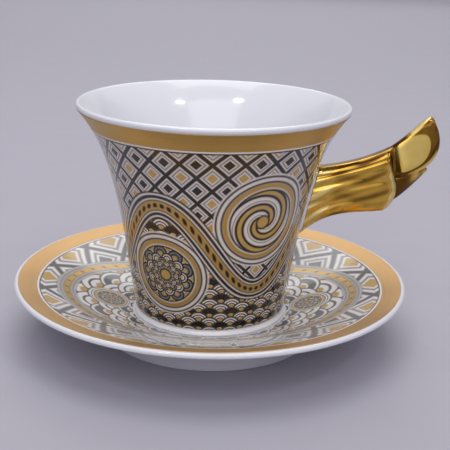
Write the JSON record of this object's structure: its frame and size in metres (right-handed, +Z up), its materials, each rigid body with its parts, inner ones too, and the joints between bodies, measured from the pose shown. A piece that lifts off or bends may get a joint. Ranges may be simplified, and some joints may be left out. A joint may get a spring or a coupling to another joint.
{
  "type": "demitasse cup and saucer",
  "caption": "Flared porcelain demitasse cup with a solid gilded wing handle, standing loose in the well of its footed saucer, both with printed ornament and gilded rim bands.",
  "frame": {"origin": "centre of the saucer's foot ring, on the table that the saucer stands on", "axes": "+Z up along the axis of the saucer and the cup, +X from the axis towards the handle's tip"},
  "size_m": [0.1273, 0.12, 0.072],
  "materials": {
    "porcelain": "glossy clear glaze on cool white porcelain",
    "cup_print": "glossy glaze over a black, grey and gold printed ornament on ivory",
    "saucer_print": "glossy glaze over a grey, black and gold printed ornament on white",
    "satin_gilding": "satin gold film fired on porcelain",
    "polished_gilding": "mirror-polished gold film fired on porcelain"
  },
  "bodies": {
    "saucer": {"saucer": "porcelain", "saucer_transfer": "saucer_print", "saucer_rim_band": "satin_gilding"},
    "cup": {"cup_shell": "porcelain", "cup_wall_transfer": "cup_print", "cup_rim_band": "satin_gilding", "wing_handle": "polished_gilding", "handle_luting": "porcelain"}
  },
  "joints": [
    {"name": "cup_lift", "type": "slide", "parent": "saucer", "child": "cup", "axis": [0, 0, 1], "range_m": [0, 0.1]}
  ]
}
